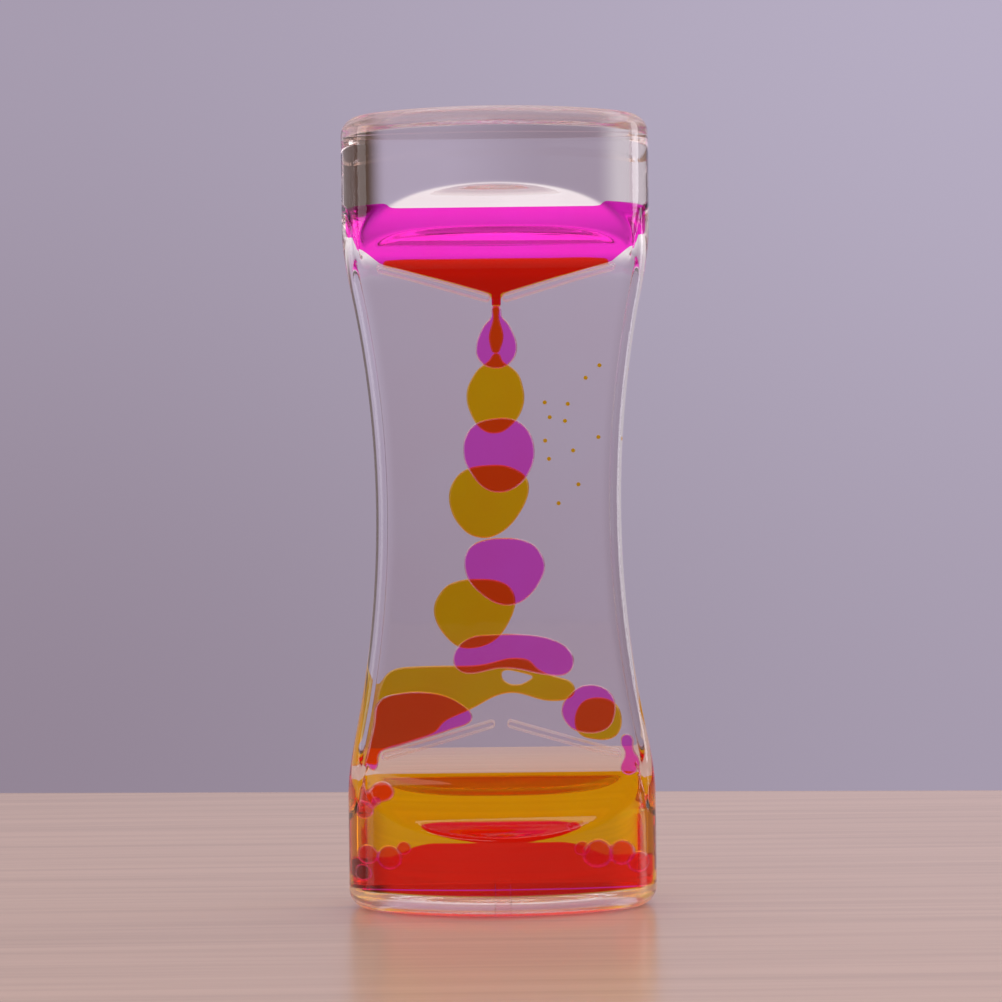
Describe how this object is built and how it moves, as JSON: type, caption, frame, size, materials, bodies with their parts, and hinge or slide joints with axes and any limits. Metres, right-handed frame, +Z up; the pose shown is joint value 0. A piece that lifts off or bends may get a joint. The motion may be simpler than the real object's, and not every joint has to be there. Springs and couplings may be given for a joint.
{
  "type": "liquid motion timer",
  "caption": "Clear waisted timer that stands on either end: magenta and yellow drops fall through oil in two flat cells set back to back.",
  "frame": {"origin": "middle of the flat ring that the timer stands on, at the bottom of its bounding box", "axes": "+Z is up along the height, the magenta cell faces -Y, and +X is the width"},
  "size_m": [0.0508, 0.03, 0.13],
  "materials": {
    "clear_plastic": "polished clear moulded plastic",
    "clear_oil": "clear mineral oil, seen as a faint tint",
    "magenta_liquid": "see-through dyed liquid with a smooth skin",
    "yellow_liquid": "see-through dyed liquid with a smooth skin"
  },
  "bodies": {
    "case": {"front_shell": "clear_plastic", "rear_shell": "clear_plastic", "divider_plate": "clear_plastic", "front_fill_plug": "clear_plastic", "rear_fill_plug": "clear_plastic", "front_lower_left_plate": "clear_plastic", "front_lower_right_plate": "clear_plastic", "front_upper_left_plate": "clear_plastic", "front_upper_right_plate": "clear_plastic", "rear_lower_left_plate": "clear_plastic", "rear_lower_right_plate": "clear_plastic", "rear_upper_left_plate": "clear_plastic", "rear_upper_right_plate": "clear_plastic", "front_oil": "clear_oil", "rear_oil": "clear_oil", "magenta_upper_pool": "magenta_liquid", "magenta_left_pool": "magenta_liquid", "magenta_settled_pool": "magenta_liquid", "magenta_settled_drops": "magenta_liquid", "yellow_upper_pool": "yellow_liquid", "yellow_thread": "yellow_liquid", "yellow_roof_pool": "yellow_liquid", "yellow_settled_pool": "yellow_liquid", "yellow_specks": "yellow_liquid"},
    "magenta_forming_drop": {"magenta_forming_drop": "magenta_liquid"},
    "magenta_drop_1": {"magenta_drop_1": "magenta_liquid"},
    "magenta_drop_2": {"magenta_drop_2": "magenta_liquid"},
    "magenta_bean_drop": {"magenta_bean_drop": "magenta_liquid"},
    "magenta_right_drop": {"magenta_right_drop": "magenta_liquid"},
    "magenta_slipping_drop": {"magenta_slipping_drop": "magenta_liquid"},
    "yellow_drop_1": {"yellow_drop_1": "yellow_liquid"},
    "yellow_drop_2": {"yellow_drop_2": "yellow_liquid"},
    "yellow_drop_3": {"yellow_drop_3": "yellow_liquid"},
    "yellow_right_drop": {"yellow_right_drop": "yellow_liquid"}
  },
  "joints": [
    {"name": "magenta_forming_fall", "type": "slide", "parent": "case", "child": "magenta_forming_drop", "axis": [0, 0, -1], "range_m": [0, 0.0076], "deforming": ["front_oil"]},
    {"name": "magenta_1_fall", "type": "slide", "parent": "case", "child": "magenta_drop_1", "axis": [0, 0, -1], "range_m": [0, 0.0073], "deforming": ["front_oil"]},
    {"name": "magenta_2_fall", "type": "slide", "parent": "case", "child": "magenta_drop_2", "axis": [0, 0, -1], "range_m": [0, 0.0034], "deforming": ["front_oil"]},
    {"name": "magenta_bean_fall", "type": "slide", "parent": "case", "child": "magenta_bean_drop", "axis": [0, 0, -1], "range_m": [0, 0.0032], "deforming": ["front_oil"]},
    {"name": "magenta_right_slide", "type": "slide", "parent": "case", "child": "magenta_right_drop", "axis": [0.9593, 0, -0.2823], "range_m": [0, 0.0019], "deforming": ["front_oil"]},
    {"name": "magenta_slipping_fall", "type": "slide", "parent": "case", "child": "magenta_slipping_drop", "axis": [0, 0, -1], "range_m": [0, 0.008], "deforming": ["front_oil"]},
    {"name": "yellow_1_fall", "type": "slide", "parent": "case", "child": "yellow_drop_1", "axis": [0, 0, -1], "range_m": [0, 0.0048], "deforming": ["rear_oil"]},
    {"name": "yellow_2_fall", "type": "slide", "parent": "case", "child": "yellow_drop_2", "axis": [0, 0, -1], "range_m": [0, 0.0064], "deforming": ["rear_oil"]},
    {"name": "yellow_3_fall", "type": "slide", "parent": "case", "child": "yellow_drop_3", "axis": [0, 0, -1], "range_m": [0, 0.0024], "deforming": ["rear_oil"]},
    {"name": "yellow_right_slide", "type": "slide", "parent": "case", "child": "yellow_right_drop", "axis": [0.9593, 0, -0.2823], "range_m": [0, 0.001], "deforming": ["rear_oil"]}
  ]
}
